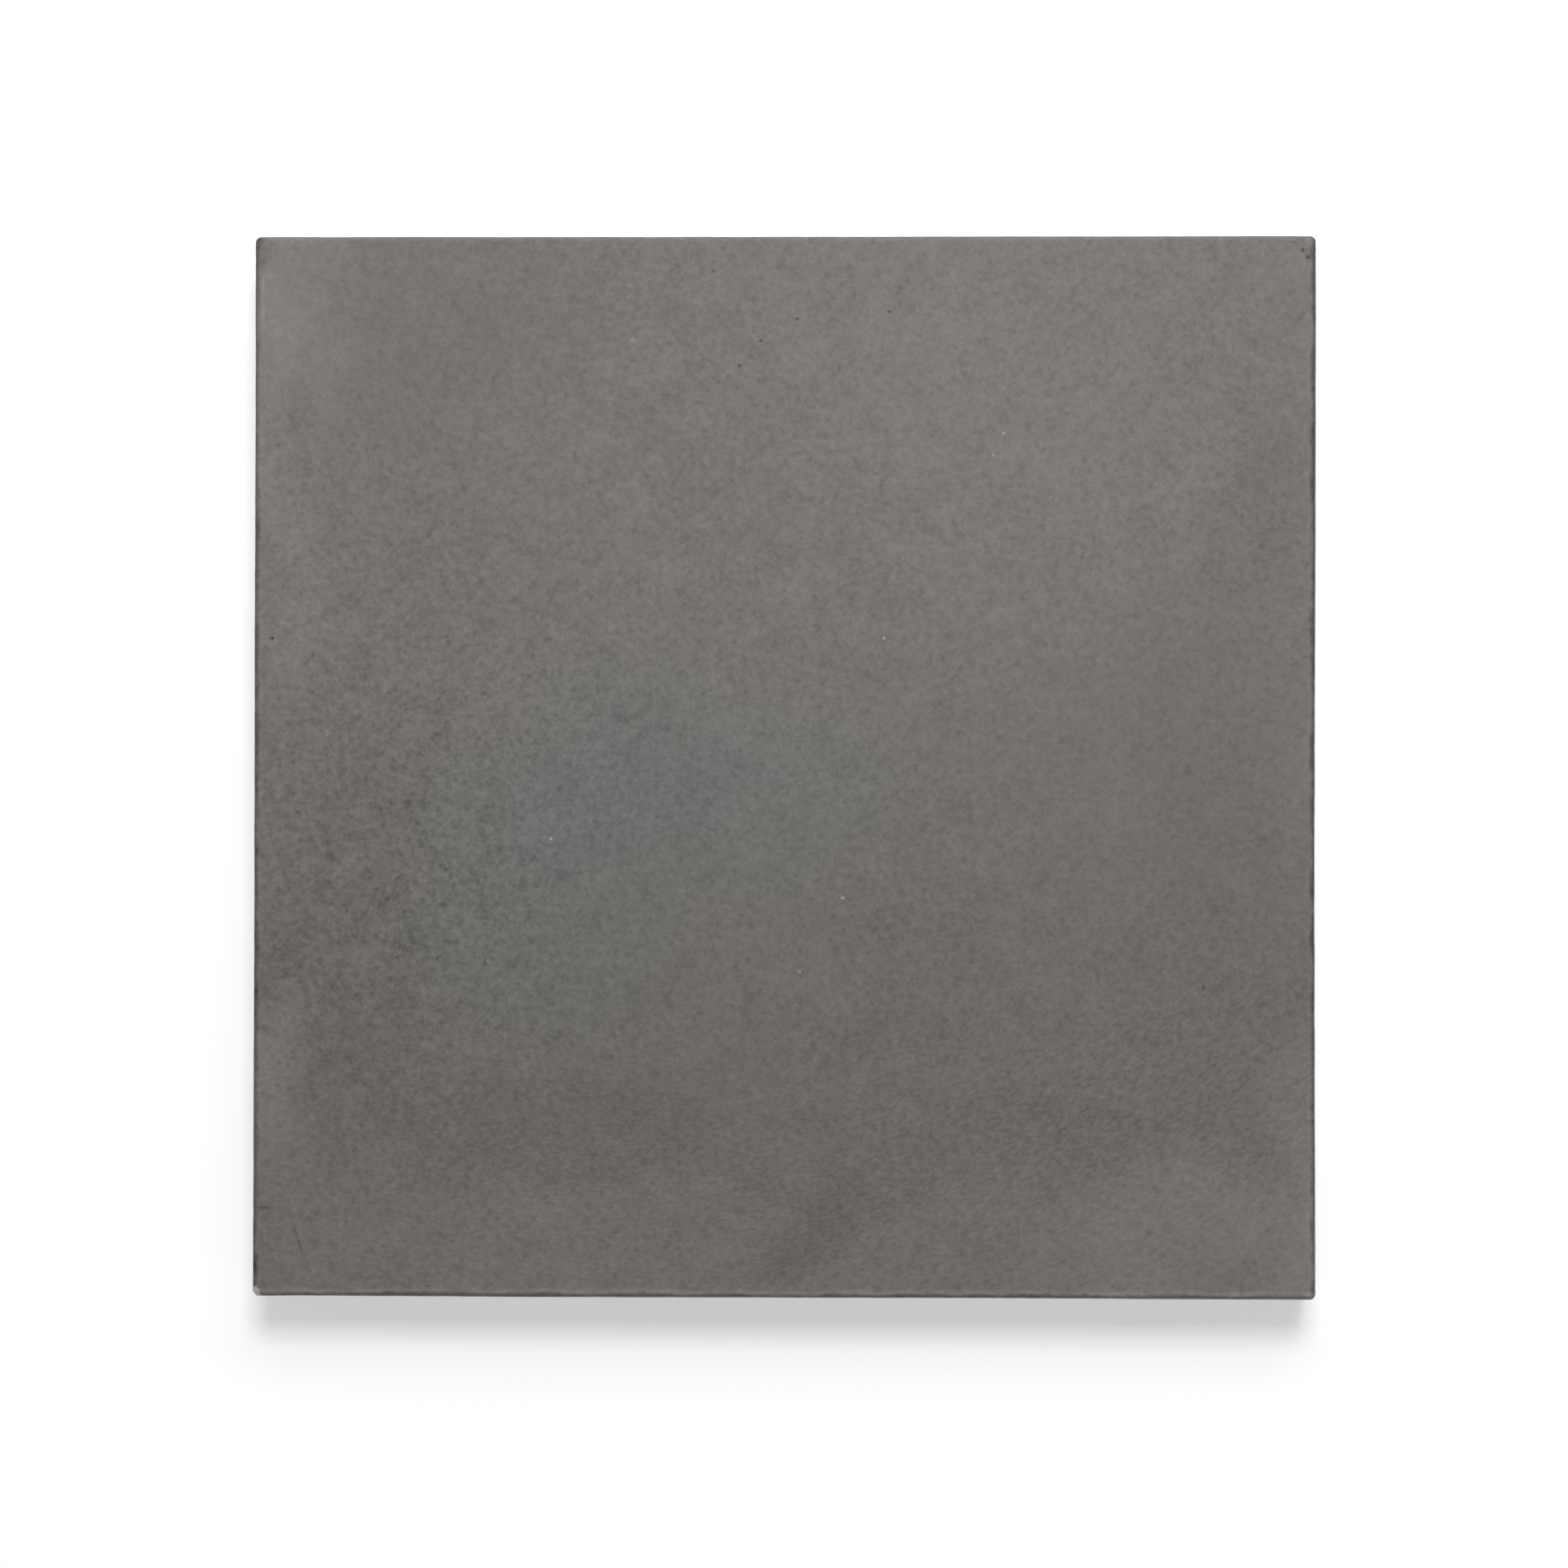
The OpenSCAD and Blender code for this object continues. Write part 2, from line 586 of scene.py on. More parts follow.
def loose_knocks():
    """The random knocks, in the same form."""
    draw = random.Random(LOOSE_SEED)
    knocks = []
    for _ in range(LOOSE_KNOCKS):
        side = draw.randrange(4)
        along = draw.uniform(-LOOSE_SPAN, LOOSE_SPAN)
        x, y = ((1, along), (along, 1), (-1, along), (along, -1))[side]
        to_x, to_y = (x, 0.0) if side % 2 == 0 else (0.0, y)
        top = draw.random() < LOOSE_TOP_SHARE
        size = LOOSE_TOP_SIZE * draw.random() if top else draw.random() ** LOOSE_RARITY
        place = (x * HALF_X, y * HALF_Y, THICKNESS if top else 0.0)
        out = (to_x, to_y, LOOSE_TOP_LEAN if top else LOOSE_BED_LEAN)
        radius = between(LOOSE_RADIUS, size)
        depth = between(LOOSE_DEPTH, size)
        knocks.append((place, out, radius, depth, draw.uniform(0.0, LOOSE_FRESH)))
    return knocks


def knock_edges(points, broken):
    """Pushes the points inside each knock's ball in to its far surface, and notes how broken they are."""
    for place, direction, radius, depth, fresh in seen_knocks() + loose_knocks():
        arris = WEARING_ARRIS if place[2] > 0 else BEDDING_ARRIS
        out = Vector(direction).normalized()
        rounding = arris * (math.sqrt(2) - 1) * KNOCK_ARRIS
        centre = np.array(Vector(place) + out * (radius - depth - rounding))
        away = points - centre
        distance = np.linalg.norm(away, axis=1)
        rough = np.zeros(len(points))
        near = np.nonzero(distance < radius * KNOCK_SEARCH)[0]
        for i in near:
            ripple = wave(points[i], KNOCK_ROUGH_LENGTH * radius, KNOCK_ROUGH_SEED)
            rough[i] = KNOCK_ROUGH_DEPTH * radius * ripple
        hit = near[distance[near] < radius + rough[near]]
        along = away[hit] @ np.array(out)
        beside = distance[hit] ** 2 - along**2
        moved = along + np.sqrt((radius + rough[hit]) ** 2 - beside)
        points[hit] -= np.array(out) * moved[:, None]
        broken[hit] = np.maximum(broken[hit], fresh * np.clip(moved / KNOCK_BARE, 0, 1))


def break_corner(points, broken):
    """Cuts the front left corner back to a rough sloping break."""
    corner = np.array([-HALF_X, -HALF_Y, THICKNESS])
    normal = Vector((-1 / BREAK_X, -1 / BREAK_Y, 1 / BREAK_Z))
    depth = 1 / normal.length
    normal = np.array(normal.normalized())
    over = (points - corner) @ normal + depth
    for i in np.nonzero(over > -BREAK_SEARCH)[0]:
        rough = sum(height * wave(points[i], length, seed) for height, length, seed in BREAK_WAVES)
        cut = over[i] + rough
        if cut > 0:
            points[i] -= normal * cut
            broken[i] = 1.0


# Clouds in the tone of the wearing face: middle and reach in photo pixels, turn in degrees, change of tone
CLOUDS = (
    (306, 500, 34, 270, 0, 0.13),
    (328, 328, 80, 90, 0, 0.125),
    (375, 405, 70, 60, 0, 0.045),
    (550, 335, 150, 110, 0, -0.04),
    (940, 375, 110, 50, 0, 0.04),
    (500, 580, 85, 220, 0, -0.03),
    (1090, 470, 200, 250, 0, 0.045),
    (1390, 590, 65, 125, 0, -0.075),
    (1345, 850, 75, 140, 0, -0.05),
    (410, 1000, 105, 270, 0, -0.06),
    (715, 640, 60, 110, 0, 0.035),
    (900, 800, 160, 60, -8, 0.03),
    (690, 1060, 115, 55, 0, 0.03),
    (610, 1255, 170, 70, 0, -0.05),
    (1140, 1250, 130, 45, 0, -0.04),
    (308, 1065, 30, 45, 0, -0.07),
    (326, 1220, 40, 110, 0, 0.22),
    (930, 1350, 85, 36, 35, -0.14),
    (872, 1408, 45, 26, 30, -0.10),
    (1330, 1370, 150, 65, 8, 0.125),
    (1442, 1330, 44, 200, 0, 0.165),
    (1400, 1278, 32, 36, 0, 0.08),
    (1440, 900, 20, 140, 0, 0.05),
    (1405, 1418, 40, 34, 0, 0.075),
    (1416, 306, 40, 40, 0, 0.06),
)
# Cooler, greyer clouds: middle and reach in pixels, turn in degrees, strength
COOL_CLOUDS = (
    (768, 856, 280, 112, 4, 0.48),
    (618, 1045, 200, 170, 0, 0.50),
    (730, 770, 430, 370, 10, 0.36),
)
# Where the grain is stronger or weaker than elsewhere: middle and reach in pixels, turn in degrees, change
GRAIN_ZONES = (
    (445, 920, 230, 340, 0, 0.50),
    (1290, 880, 210, 240, 0, -0.28),
    (420, 350, 190, 130, 0, -0.22),
    (820, 680, 260, 220, 0, 0.12),
    (900, 1310, 700, 200, 0, -0.28),
)
# Where the photo shows fine strokes across the face, in the same form
STROKED = ((1290, 1130, 230, 290, 0, 0.34), (870, 1310, 760, 190, 0, 0.75))
# Painted shade that darkens the face towards the front, where the light falls off, and the paler band along
# the front edge, from and to as photo rows
FRONT_PAINTED_SHADE = (540, 1150, -0.12)
FRONT_BAND = (1295, 1345, 0.05)
# Shares of its reach at which a cloud has faded out, and at which it is full
CLOUD_END = 1.45
CLOUD_FULL = 0.25
# How the clouds' edges wander: length and reach of each wave, and the first seed for each direction
CLOUD_WANDER = ((70 * MM, 17 * MM), (35 * MM, 10 * MM), (18 * MM, 6 * MM), (9 * MM, 4 * MM))
CLOUD_SEED_X = 14
CLOUD_SEED_Y = 24


def ease(values, low, high):
    """Goes smoothly from 0 to 1 as the values go from low to high."""
    share = np.clip((values - low) / (high - low), 0, 1)
    return share**2 * (3 - 2 * share)


def soft_patches(places, rows):
    """Sum of soft ellipses at places given as complex numbers, each by its change."""
    total = np.zeros(len(places))
    for px, py, reach_x, reach_y, turn, change in rows:
        local = (places - complex(*at_pixel(px, py))) * cmath.exp(-1j * math.radians(turn))
        away = np.hypot(local.real / reach_x, local.imag / reach_y) * PHOTO_PIXELS_PER_M
        total += change * ease(away, CLOUD_END, CLOUD_FULL)
    return total


def cloud_place(point):
    """Place of a point among the clouds, shifted to give them uneven edges."""
    place = complex(*point[:2])
    for k, (length, reach) in enumerate(CLOUD_WANDER):
        shift_x = wave(point, length, CLOUD_SEED_X + k)
        shift_y = wave(point, length, CLOUD_SEED_Y + k)
        place += reach * complex(shift_x, shift_y)
    return place


def face_shades(points):
    """Broad shades of the wearing face at each point, by name; the clouds also carry painted shade towards
    the front.
    """
    places = np.array([cloud_place(point) for point in points])
    tone_and_painted_shade = soft_patches(places, CLOUDS)
    # Painted shade towards the front, then the paler band along the front edge
    for first, last, change in (FRONT_PAINTED_SHADE, FRONT_BAND):
        tone_and_painted_shade += change * ease(places.imag, at_pixel(0, first)[1], at_pixel(0, last)[1])
    return {
        "tone_and_painted_shade": tone_and_painted_shade,
        "cool": np.minimum(soft_patches(places, COOL_CLOUDS), 1),
        "coarse": 1 + soft_patches(places, GRAIN_ZONES),
        "stroked": soft_patches(places, STROKED),
    }


# UV map: middle and half width of the wearing face and of the underside, then the rows of the joint sides
UV_TOP = (0.335, 0.665, 0.33)
UV_UNDERSIDE = (0.835, 0.165, 0.155)
UV_ROW_FOOT = 0.015
UV_ROW_PITCH = 0.08
UV_ROW_HEIGHT = 0.066
# Share of its drop by which a rolled edge spreads out beyond its face
UV_ROLL = 0.5
# Edges that fold more than this are shaded sharp
SHARP_DEGREES = 48


def uv_place(point, island):
    """Place on the UV map: a large square for the wearing face, a row for each side, then the underside."""
    x, y, z = point
    middle_x, middle_y, half = UV_UNDERSIDE if island == UNDERSIDE else UV_TOP
    if island in (TOP, UNDERSIDE):
        rolled = max(0.0, THICKNESS - z) if island == TOP else z
        spread = half * (1 + rolled / HALF_X * UV_ROLL)
        return middle_x + spread * x / HALF_X, middle_y + spread * y / HALF_Y
    side = island - SIDES
    along = (y, -x, -y, x)[side]
    foot = UV_ROW_FOOT + UV_ROW_PITCH * side
    return middle_x + half * along / HALF_X, foot + UV_ROW_HEIGHT * z / THICKNESS


def add_attribute(mesh, name, values):
    mesh.attributes.new(name, "FLOAT", "POINT").data.foreach_set("value", np.asarray(values, np.float32))


def wear(mesh, skin, flat):
    """Places of the points after relief, bows, knocks and the broken corner, and how broken each is."""
    normals = np.zeros(len(mesh.vertices) * 3, np.float32)
    mesh.vertex_normals.foreach_get("vector", normals)
    points = flat.copy()
    for i, normal in enumerate(normals.reshape(-1, 3)):
        points[i] -= np.array(normal) * (relief(flat[i], normal) + skin.sink[i])
    broken = np.zeros(len(points))
    bend_outline(points)
    knock_edges(points, broken)
    break_corner(points, broken)
    return points, broken


def make_slab():
    """The visible slab: the worn skin, with its shades as attributes and its UV map."""
    skin, top, sides, bed = build_skin()
    add_features(skin, top, sides, bed)
    mesh = bpy.data.meshes.new("slab_concrete")
    mesh.from_pydata(skin.points, [], skin.faces)
    mesh.update()
    flat = np.array(skin.points)
    points, broken = wear(mesh, skin, flat)
    mesh.vertices.foreach_set("co", points.astype(np.float32).ravel())
    shades = {"broken": broken, "grain": skin.grain, "pit": skin.pit, **face_shades(flat)}
    for name, values in shades.items():
        add_attribute(mesh, name, values)
    uv = mesh.uv_layers.new(name="OFBake")
    places = [uv_place(flat[v], island) for face, island in zip(skin.faces, skin.islands) for v in face]
    uv.uv.foreach_set("vector", np.array(places, np.float32).ravel())
    mesh.shade_smooth()
    mesh.set_sharp_from_angle(angle=math.radians(SHARP_DEGREES))
    mesh.update()
    slab = bpy.data.objects.new("slab_concrete", mesh)
    bpy.context.scene.collection.objects.link(slab)
    return slab


class Graph:
    """Adds nodes to a node tree and links them as they are made."""

    def __init__(self, tree):
        self.tree = tree
        tree.nodes.clear()

    def feed(self, socket, value):
        if isinstance(value, bpy.types.NodeSocket):
            self.tree.links.new(value, socket)
        else:
            socket.default_value = value

    def add(self, kind, inputs=(), **settings):
        node = self.tree.nodes.new(kind)
        for name, value in settings.items():
            setattr(node, name, value)
        for name, value in dict(inputs).items():
            self.feed(node.inputs[name], value)
        return node

    def math(self, operation, a, b=0.0):
        return self.add("ShaderNodeMath", {0: a, 1: b}, operation=operation).outputs[0]

    def times(self, a, b):
        return self.math("MULTIPLY", a, b)

    def vector(self, operation, a, b=(0, 0, 0)):
        return self.add("ShaderNodeVectorMath", {0: a, 1: b}, operation=operation).outputs[0]

    def length(self, a):
        return self.add("ShaderNodeVectorMath", {0: a}, operation="LENGTH").outputs["Value"]

    def parts(self, a):
        """X, Y and Z of a vector."""
        return self.add("ShaderNodeSeparateXYZ", {0: a}).outputs

    def channels(self, a):
        """Red, Green and Blue of a colour."""
        return self.add("ShaderNodeSeparateColor", {0: a}).outputs

    def attribute(self, name):
        return self.add("ShaderNodeAttribute", attribute_name=name).outputs["Fac"]

    def noise(self, place, scale, detail, roughness, output="Fac"):
        inputs = {"Vector": place, "Scale": scale, "Detail": detail, "Roughness": roughness}
        return self.add("ShaderNodeTexNoise", inputs).outputs[output]

    def step(self, value, low, high, start=0.0, end=1.0):
        """Goes smoothly from start to end as the value goes from low to high."""
        inputs = {"Value": value, "From Min": low, "From Max": high, "To Min": start, "To Max": end}
        return self.add("ShaderNodeMapRange", inputs, interpolation_type="SMOOTHSTEP").outputs[0]

    def scale(self, value, amount, middle=0.5):
        """Swing of a noise round its middle, times an amount."""
        return self.times(self.math("SUBTRACT", value, middle), amount)

    def total(self, *values):
        out = values[0]
        for value in values[1:]:
            out = self.math("ADD", out, value)
        return out

    def blend(self, factor, a, b):
        """Colour from a to b; the numbers are the Mix node's sockets for a colour."""
        node = self.tree.nodes.new("ShaderNodeMix")
        node.data_type = "RGBA"
        for index, value in ((0, factor), (6, a), (7, b)):
            self.feed(node.inputs[index], value)
        return node.outputs[2]


# Colours of the concrete, in linear light, the last being painted shade for the holes
WARM = (0.179, 0.165, 0.150, 1)
COOL = (0.1685, 0.1662, 0.160, 1)
BARE = (0.56, 0.52, 0.48, 1)
SAND = (0.33, 0.315, 0.29, 1)
# Painted shade of the holes
HOLE_PAINTED_SHADE = (0.055, 0.050, 0.046, 1)

# Noises of the concrete: how many times each changes in a metre, about, its detail and its roughness
SAND_NOISE = (350, 3, 0.62)
FINE_NOISE = (780, 1, 0.5)
BROAD_NOISE = (14, 3, 0.55)
MOTTLE_NOISE = (75, 2, 0.75)
CURL_NOISE = (330, 2, 0.5)
STROKE_NOISE = (820, 1, 0.5)
DRAG_NOISE = (420, 3, 0.6)
FLECK_SCALE = 300.0
# How far the mottle shifts the flecks, and how the drag lines of the joint sides are drawn out upwards
FLECK_SHIFT = (0.004, 0.004, 0.004)
DRAG_DRAWN = (1, 1, 0.06)
# Values between which a fleck fades out from its middle, and a curl from its line
FLECK_FADES = (0.12, 0.50)
CURL_FADES = (0.0, 0.05)
# How the mottle thins the rubbed lines and marks, and the sand thins fresh breaks: from, to, least and most
PATCHY = (0.30, 0.65, 0.35, 1.0)
FRESH_PATCHY = (0.3, 0.6, 0.5, 1.0)
# Pixel that the arcs of the strokes run round, and metres of their noise for each radian
STROKES_MIDDLE = (640, 180)
STROKES_PER_RADIAN = 0.17
# Tone that the colours are multiplied by, and how much each noise changes it
BASE_TONE = 0.938
TONE_SAND = 0.62
TONE_FINE = 0.28
TONE_MOTTLE = 0.26
TONE_FLECKS = -0.10
TONE_CURLS = 0.06
TONE_STROKES = 0.62
TONE_BROAD = 0.08
# How much paler the joint sides are, partly their own tone and partly painted light that lifts their shade,
# and how much each noise changes them, with more pale flecks than dark
SIDE_PALE_AND_PAINTED_LIGHT = 0.14
SIDE_DRAG = 0.20
SIDE_SAND = 0.25
SIDE_BROAD = 0.35
SIDE_FLECKS = 0.65
SIDE_FLECK_MIDDLE = 0.3
# Share of each noise in the bump, and the bump's strength and height
BUMP_SAND = 0.7
BUMP_FINE = 0.35
BUMP_DRAG = 0.6
BUMP_STRENGTH = 0.35
BUMP_DISTANCE = 0.25 * MM
# Upward share of the normal over which a joint side goes over to the wearing face
FACING = (0.35, 0.75)
# Roughness, how far the mottle swings it, and the strength of reflections
ROUGHNESS = 0.74
ROUGHNESS_SWING = 0.2
SPECULAR_LEVEL = 0.3

# Fine scratches, worn streaks and dark marks: the two ends in pixels, half width and change of tone
MARKS = (
    (322, 1345, 342, 1408, 0.60 * MM, -0.36),
    (366, 1390, 369, 1412, 0.45 * MM, -0.15),
    (952, 1085, 990, 1170, 0.50 * MM, 0.06),
    (281, 1340, 304, 1341, 0.75 * MM, -0.36),
    (416, 636, 436, 650, 0.30 * MM, -0.15),
    (290, 298, 291, 388, 0.70 * MM, 0.30),
    (288, 256, 289, 300, 1.90 * MM, -0.28),
    (1451, 270, 1453, 282, 0.90 * MM, -0.24),
    (1446, 285, 1453, 286, 0.90 * MM, -0.50),
    (1424, 268, 1440, 270, 0.60 * MM, -0.22),
    (283, 1398, 284, 1418, 1.00 * MM, -0.25),
)
# Shares of its half length and half width at which a mark is full, and at which it has faded out
MARK_FADES = (0.4, 1.2)
# Change of tone on the arris, painted shade with some dirt on the left, right and front and a painted
# highlight on the back, and on the rubbed line beside it: left, right, front and back
ARRIS_PAINTED_LIGHT_AND_DIRT = (-0.40, -0.56, -0.32, 0.10)
RUBBED = (0.12, 0.12, 0.40, 0.0)
# Distances from the edge over which the arris's painted shade and highlight fade and the rubbed line comes
# and goes, and how ragged they are
ARRIS_PAINTED_LIGHT_FADES = (0.6 * MM, 3.2 * MM)
RUB_COMES = (1.2 * MM, 2.3 * MM)
RUB_FADES = (2.3 * MM, 4.2 * MM)
EDGE_RAGGED = 3.6 * MM
# Heights over which the joint sides grow darker towards the foot, and the change of tone there
FOOT_FADES = (0.5 * MM, 6 * MM)
FOOT_DARKER = -0.20


def mark_mask(g, place, x0, y0, x1, y1, half_width):
    """Thin line on the wearing face between two pixels, thinner towards its ends."""
    ax, ay = at_pixel(x0, y0)
    bx, by = at_pixel(x1, y1)
    inputs = {
        "Vector": place,
        "Location": ((ax + bx) / 2, (ay + by) / 2, THICKNESS),
        "Rotation": (0, 0, math.atan2(by - ay, bx - ax)),
        "Scale": (math.hypot(bx - ax, by - ay) / 2, half_width, 1.0),
    }
    local = g.add("ShaderNodeMapping", inputs, vector_type="TEXTURE").outputs[0]
    return g.step(g.length(local), *MARK_FADES, 1.0, 0.0)


def arcs(g, place):
    """Place by the arcs of the strokes: along the arc, out from its middle, and up from the wearing face."""
    x, y = at_pixel(*STROKES_MIDDLE)
    local = g.vector("SUBTRACT", place, (x, y, THICKNESS))
    parts = g.parts(local)
    turn = g.math("ARCTAN2", parts["X"], g.times(parts["Y"], -1.0))
    inputs = {"X": g.times(turn, STROKES_PER_RADIAN), "Y": g.length(local), "Z": parts["Z"]}
    return g.add("ShaderNodeCombineXYZ", inputs).outputs[0]


def shared_looks(g):
    """Places, masks and noises that several parts of the concrete use."""
    coordinates = g.add("ShaderNodeTexCoord").outputs
    place = coordinates["Object"]
    facing = g.parts(coordinates["Normal"])["Z"]
    oblique = g.add("ShaderNodeMapping", {"Vector": place, "Rotation": OBLIQUE}).outputs[0]
    mottle = g.noise(oblique, *MOTTLE_NOISE, "Color")
    mottles = g.channels(mottle)
    shifted = g.vector("ADD", oblique, g.vector("MULTIPLY", mottle, FLECK_SHIFT))
    cells = g.add("ShaderNodeTexVoronoi", {"Vector": shifted, "Scale": FLECK_SCALE}).outputs
    from_curls = g.math("ABSOLUTE", g.scale(g.noise(oblique, *CURL_NOISE), 1.0))
    return SimpleNamespace(
        place=place,
        exact=g.parts(place),
        on_top=g.step(facing, *FACING),
        upright=g.step(g.math("ABSOLUTE", facing), *FACING, 1.0, 0.0),
        sand=g.noise(oblique, *SAND_NOISE),
        fine=g.noise(oblique, *FINE_NOISE),
        broad=g.noise(oblique, *BROAD_NOISE),
        mottles=mottles,
        flecks=g.step(cells["Distance"], *FLECK_FADES, 1.0, 0.0),
        fleck_kind=g.channels(cells["Color"])["Red"],
        curls=g.step(from_curls, *CURL_FADES, 1.0, 0.0),
        drag=g.noise(g.vector("MULTIPLY", place, DRAG_DRAWN), *DRAG_NOISE),
        patchy=g.step(mottles["Green"], *PATCHY),
        ragged=g.scale(mottles["Blue"], EDGE_RAGGED),
    )


def face_tone(g, looks):
    """Tone of the plain concrete: its clouds with painted shade towards the front, grain and strokes."""
    grit = g.total(
        g.scale(looks.sand, TONE_SAND),
        g.scale(looks.fine, TONE_FINE),
        g.scale(looks.mottles["Red"], TONE_MOTTLE),
        g.times(looks.flecks, TONE_FLECKS),
        g.times(looks.curls, TONE_CURLS),
    )
    strokes = g.noise(arcs(g, looks.place), *STROKE_NOISE)
    return g.total(
        BASE_TONE,
        # Clouds of tone, with painted shade towards the front
        g.times(g.attribute("tone_and_painted_shade"), looks.on_top),
        g.times(grit, g.attribute("coarse")),
        g.times(g.scale(strokes, TONE_STROKES), g.attribute("stroked")),
        g.scale(looks.broad, TONE_BROAD),
    )


def edge_tone(g, looks):
    """Change of tone along the four edges of the wearing face: painted shade with some dirt, a painted
    highlight on the back edge, and a rubbed line beside it.
    """
    from_edges = (
        g.math("ADD", HALF_X, looks.exact["X"]),
        g.math("SUBTRACT", HALF_X, looks.exact["X"]),
        g.math("ADD", HALF_Y, looks.exact["Y"]),
        g.math("SUBTRACT", HALF_Y, looks.exact["Y"]),
    )
    changes = []
    for straight, painted_arris_change, rubbed in zip(from_edges, ARRIS_PAINTED_LIGHT_AND_DIRT, RUBBED):
        distance = g.math("ADD", straight, looks.ragged)
        # Painted shade with some dirt on the left, right and front arris, and a painted highlight on the back
        # arris
        painted_arris_tone = g.step(distance, *ARRIS_PAINTED_LIGHT_FADES, painted_arris_change, 0.0)
        bright = g.times(g.step(distance, *RUB_COMES), g.step(distance, *RUB_FADES, rubbed, 0.0))
        changes += [painted_arris_tone, g.times(bright, looks.patchy)]
    return g.total(*changes)


def mark_tone(g, looks):
    """Change of tone by the scratches, streaks and dark marks."""
    marks = [g.times(mark_mask(g, looks.place, *line), change) for *line, change in MARKS]
    return g.times(g.total(*marks), looks.patchy)


def side_tone(g, looks):
    """Change of tone on the joint sides: paler, partly by painted light, sandy and flecked, with upright drag
    lines, and darker towards the foot.
    """
    foot = g.math("ADD", looks.exact["Z"], looks.ragged)
    return g.total(
        SIDE_PALE_AND_PAINTED_LIGHT,
        # Paler: partly the sides' own tone, partly painted light on their shade
        g.scale(looks.drag, SIDE_DRAG),
        g.scale(looks.sand, SIDE_SAND),
        g.scale(looks.broad, SIDE_BROAD),
        g.times(looks.flecks, g.scale(looks.fleck_kind, SIDE_FLECKS, SIDE_FLECK_MIDDLE)),
        g.step(foot, *FOOT_FADES, FOOT_DARKER, 0.0),
    )


def surface_colour(g, looks, tone):
    """Colour of the concrete at a tone, then of its breaks and grains, and the painted shade of its holes."""
    cool = g.times(g.attribute("cool"), looks.on_top)
    inputs = {0: g.blend(cool, WARM, COOL), "Scale": tone}
    colour = g.add("ShaderNodeVectorMath", inputs, operation="SCALE").outputs[0]
    fresh = g.times(g.attribute("broken"), g.step(looks.sand, *FRESH_PATCHY))
    colour = g.blend(fresh, colour, BARE)
    colour = g.blend(g.attribute("grain"), colour, SAND)
    # Painted shade in the holes
    return g.blend(g.attribute("pit"), colour, HOLE_PAINTED_SHADE)


def concrete_material():
    """Pressed concrete: clouded tone with painted shade towards the front, fine dark flecks, worn edges with
    painted shade and a painted highlight, holes with painted shade, sandy joint sides partly lifted by
    painted light, and bare breaks.
    """
    material = bpy.data.materials.new("pressed_concrete")
    material.use_nodes = True
    g = Graph(material.node_tree)
    looks = shared_looks(g)
    tone = g.total(
        face_tone(g, looks),
        g.times(edge_tone(g, looks), looks.on_top),
        g.times(mark_tone(g, looks), looks.on_top),
        g.times(side_tone(g, looks), looks.upright),
    )
    height = g.total(
        g.times(looks.sand, BUMP_SAND),
        g.times(looks.fine, BUMP_FINE),
        g.times(g.times(looks.drag, looks.upright), BUMP_DRAG),
    )
    bump_inputs = {"Strength": BUMP_STRENGTH, "Distance": BUMP_DISTANCE, "Height": height}
    inputs = {
        "Base Color": surface_colour(g, looks, tone),
        "Roughness": g.math("ADD", ROUGHNESS, g.scale(looks.mottles["Green"], ROUGHNESS_SWING)),
        "Normal": g.add("ShaderNodeBump", bump_inputs).outputs["Normal"],
        "Specular IOR Level": SPECULAR_LEVEL,
    }
    surface = g.add("ShaderNodeBsdfPrincipled", inputs)
    g.add("ShaderNodeOutputMaterial", {"Surface": surface.outputs[0]})
    return material


# Studio: a far lamp for the shadow, a wide lamp near the back edge, and a surround brightest at the horizon
KEY_ELEVATION = 67.2
KEY_AZIMUTH = 7.0
KEY_DISTANCE = 3.0
KEY_SIZE = 0.75
KEY_WATTS = 44.0
BACK_PLACE = (0.10, 0.45, 0.74)
BACK_WIDTH = 0.8
BACK_DEPTH = 0.3
BACK_WATTS = 2.4
FILL_OVERHEAD = 0.12
FILL_AT_HORIZON = 1.3
FILL_HEIGHT = 0.6
FLOOR_SIZE = 8.0
FLOOR_DROP = 0.05 * MM
FLOOR_COLOUR = (0.80, 0.80, 0.80, 1)
FLOOR_SEEN_COLOUR = (0.76, 0.76, 0.76, 1)
FLOOR_SEEN_GLOW = 0.440
FLOOR_FADE_FROM = 0.40
FLOOR_FADE_TO = 0.75
WHITE = (1, 1, 1, 1)


def seen_directly(g):
    """1 for rays that show the background: from the camera, in a reflection or through glass."""
    rays = g.add("ShaderNodeLightPath").outputs
    seen = g.math("MAXIMUM", rays["Is Camera Ray"], rays["Is Glossy Ray"])
    return g.math("MAXIMUM", seen, rays["Is Transmission Ray"])


